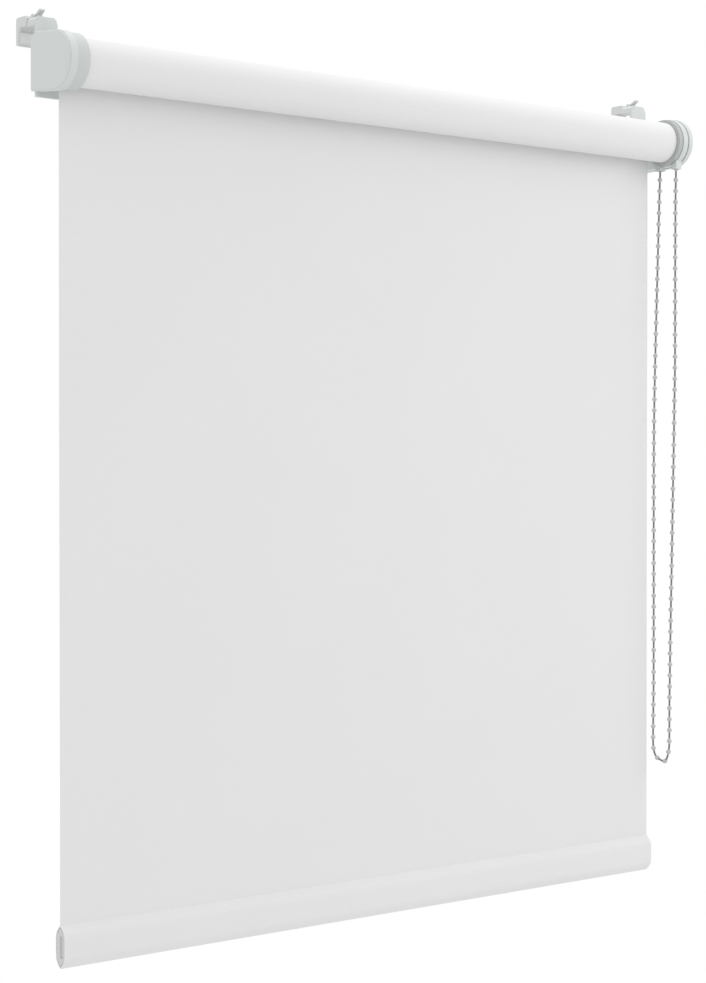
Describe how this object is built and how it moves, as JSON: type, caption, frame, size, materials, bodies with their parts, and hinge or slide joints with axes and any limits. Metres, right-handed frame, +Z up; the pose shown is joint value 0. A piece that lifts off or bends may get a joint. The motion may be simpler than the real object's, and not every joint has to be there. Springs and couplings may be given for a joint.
{
  "type": "roller blind",
  "caption": "Chain-driven roller blind with clamp brackets that hook over the top edge of a window sash; partly wound plain fabric with a weighted hem.",
  "frame": {"origin": "midway between the two clamps, on the line where the sash's front face meets its top edge", "axes": "+X along the roller to the chain end, +Y through the window away from the room, +Z up"},
  "size_m": [0.6107, 0.076, 0.6533],
  "materials": {
    "bracket_plastic": "fine matt moulded grain",
    "cover_plastic": "smooth satin",
    "hook_plastic": "fine matt moulded grain",
    "ring_plastic": "matt moulded",
    "dark_plastic": "matt moulded",
    "wheel_plastic": "satin",
    "cap_plastic": "matt",
    "blind_fabric": "fine plain weave, light coating",
    "chain_cord": "braided",
    "chain_beads": "satin",
    "tape": "smooth",
    "aluminium": "extruded, satin",
    "spring_steel": "drawn wire",
    "pad_rubber": "matt"
  },
  "bodies": {
    "frame": {"left_bracket": "bracket_plastic", "right_bracket": "bracket_plastic", "left_cover": "cover_plastic", "right_cover": "cover_plastic", "left_edge_ring": "ring_plastic", "left_plate_pad": "pad_rubber", "right_plate_pad": "pad_rubber", "chain_guard": "cover_plastic", "clutch_hub": "dark_plastic", "hub_clip": "spring_steel", "fabric_sheet": "blind_fabric", "chain_cord": "chain_cord", "chain_beads": "chain_beads"},
    "roller": {"roller_tube": "aluminium", "fabric_roll": "blind_fabric", "fabric_tape": "tape", "idler_plug": "dark_plastic", "spring_seat": "dark_plastic", "pin_spring": "spring_steel", "drive_adapter": "dark_plastic", "chain_wheel": "wheel_plastic", "clutch_springs": "spring_steel", "wheel_beads": "chain_beads"},
    "idle_pin": {"idle_pin": "spring_steel"},
    "left_hook": {"left_hook": "hook_plastic", "left_hook_pad": "pad_rubber"},
    "right_hook": {"right_hook": "hook_plastic", "right_hook_pad": "pad_rubber"},
    "left_lock_tab": {"left_lock_tab": "hook_plastic"},
    "right_lock_tab": {"right_lock_tab": "hook_plastic"},
    "hem_bar": {"hem_pocket": "blind_fabric", "bottom_bar": "aluminium", "left_bar_cap": "cap_plastic", "right_bar_cap": "cap_plastic"}
  },
  "joints": [
    {"name": "roller_spin", "type": "hinge", "parent": "frame", "child": "roller", "pos_m": [0, -0.0315, -0.0285], "axis": [1, 0, 0], "range_deg": [0, 1800]},
    {"name": "bar_lift", "type": "slide", "parent": "frame", "child": "hem_bar", "axis": [0, 0, 1], "range_m": [0, 0.547], "deforming": ["fabric_sheet"]},
    {"name": "pin_push", "type": "slide", "parent": "roller", "child": "idle_pin", "axis": [1, 0, 0], "range_m": [0, 0.008], "stiffness_N_per_m": 250, "springref_m": -0.012, "deforming": ["pin_spring"]},
    {"name": "left_hook_slide", "type": "slide", "parent": "frame", "child": "left_hook", "axis": [0, 1, 0], "range_m": [-0.0015, 0.0055]},
    {"name": "right_hook_slide", "type": "slide", "parent": "frame", "child": "right_hook", "axis": [0, 1, 0], "range_m": [-0.0015, 0.0055]},
    {"name": "left_tab_lift", "type": "hinge", "parent": "frame", "child": "left_lock_tab", "pos_m": [-0.2935, 0.0075, 0.0072], "axis": [-1, 0, 0], "range_deg": [0, 15], "stiffness_Nm_per_rad": 0.02, "springref_deg": -11.46},
    {"name": "right_tab_lift", "type": "hinge", "parent": "frame", "child": "right_lock_tab", "pos_m": [0.2935, 0.0075, 0.0072], "axis": [-1, 0, 0], "range_deg": [0, 15], "stiffness_Nm_per_rad": 0.02, "springref_deg": -11.46}
  ],
  "couplings": [
    {"joint": "bar_lift", "follows": "roller_spin", "m_per_rad": 0.0174}
  ]
}
